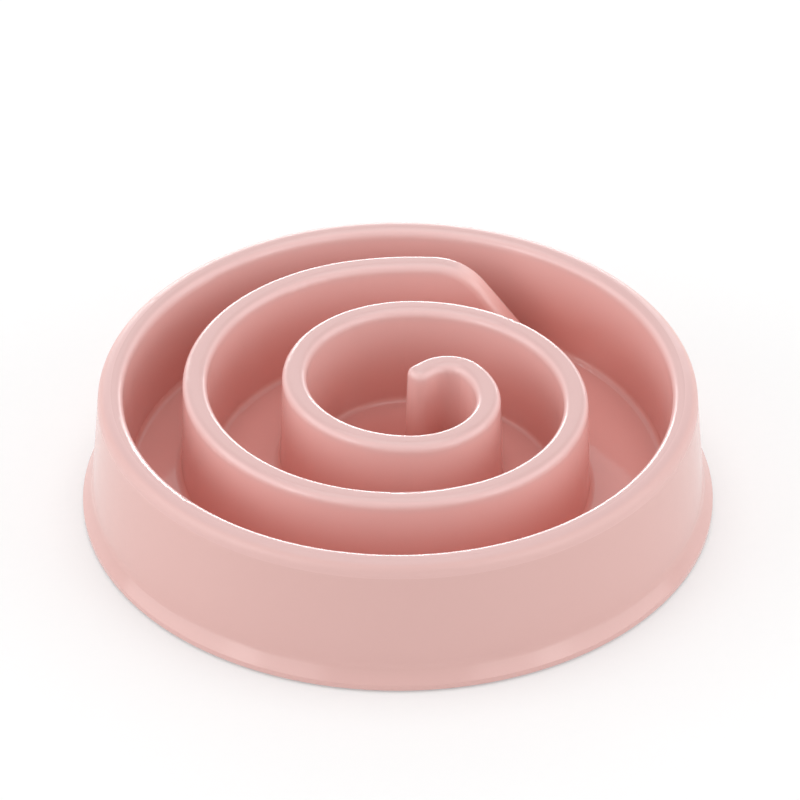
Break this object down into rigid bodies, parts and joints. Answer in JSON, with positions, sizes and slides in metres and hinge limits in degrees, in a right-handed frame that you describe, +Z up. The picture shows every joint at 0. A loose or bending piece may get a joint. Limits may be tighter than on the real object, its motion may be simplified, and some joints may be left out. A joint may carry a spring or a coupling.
{
  "type": "slow feeder bowl",
  "caption": "Round glossy moulded pet bowl with a flared foot and a tall spiral rib that winds food channels round its floor to slow eating, on rubber feet.",
  "frame": {"origin": "centre of the bowl's outline, on the plane under the four feet", "axes": "+Z up out of the bowl, +X to the right and +Y to the rear as the picture is taken"},
  "size_m": [0.2, 0.2, 0.0429],
  "materials": {
    "bowl_plastic": "glossy pastel pink injection moulding",
    "foot_rubber": "matt pale grey rubber"
  },
  "bodies": {
    "root": {"bowl_body": "bowl_plastic", "foot_rear_right": "foot_rubber", "foot_rear_left": "foot_rubber", "foot_front_left": "foot_rubber", "foot_front_right": "foot_rubber"}
  },
  "joints": []
}
